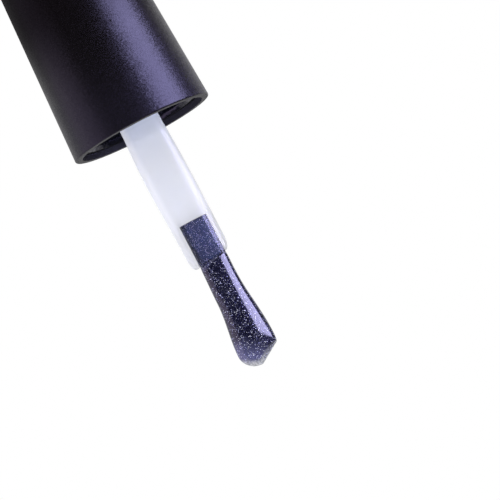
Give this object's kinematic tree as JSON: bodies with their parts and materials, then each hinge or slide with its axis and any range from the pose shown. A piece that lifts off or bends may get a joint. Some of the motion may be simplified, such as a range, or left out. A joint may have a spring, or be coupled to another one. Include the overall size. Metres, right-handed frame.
{
  "type": "nail polish applicator",
  "caption": "Nail polish applicator: a tapered satin screw cap with a flat translucent brush stem and a flat, round-tipped tuft loaded with glitter polish.",
  "frame": {"origin": "centre of the overcap's open rim, on the cap's axis", "axes": "+Z along the cap's axis towards its closed top, so the brush hangs down -Z; X along the brush's width; Y along its thickness"},
  "size_m": [0.0175, 0.0174, 0.0649],
  "materials": {
    "satin_lacquer": "satin violet-black metallic lacquer with a fine pearl grain over moulded plastic",
    "black_plastic": "as-moulded glossy black polypropylene",
    "liner_foam": "soft expanded polyethylene wad, matt off-white",
    "milky_polyethylene": "translucent milky natural polyethylene with soft moulded edges",
    "staple_steel": "plain stainless anchor plate",
    "bristle_nylon": "fine nylon filaments wetted with dark violet polish",
    "wet_polish": "wet glossy dark blue-violet polish with fine silver and violet glitter"
  },
  "bodies": {
    "applicator": {"overcap": "satin_lacquer", "inner_cap": "black_plastic", "sealing_liner": "liner_foam", "brush_stem": "milky_polyethylene", "tuft_staple": "staple_steel", "bristle_root": "bristle_nylon"},
    "tuft": {"bristle_tuft": "bristle_nylon", "polish_coat": "wet_polish"}
  },
  "joints": [
    {"name": "tuft_bend", "type": "hinge", "parent": "applicator", "child": "tuft", "pos_m": [0, 0, -0.01865], "axis": [1, 0, 0], "range_deg": [-35, 35], "stiffness_Nm_per_rad": 0.00005}
  ]
}
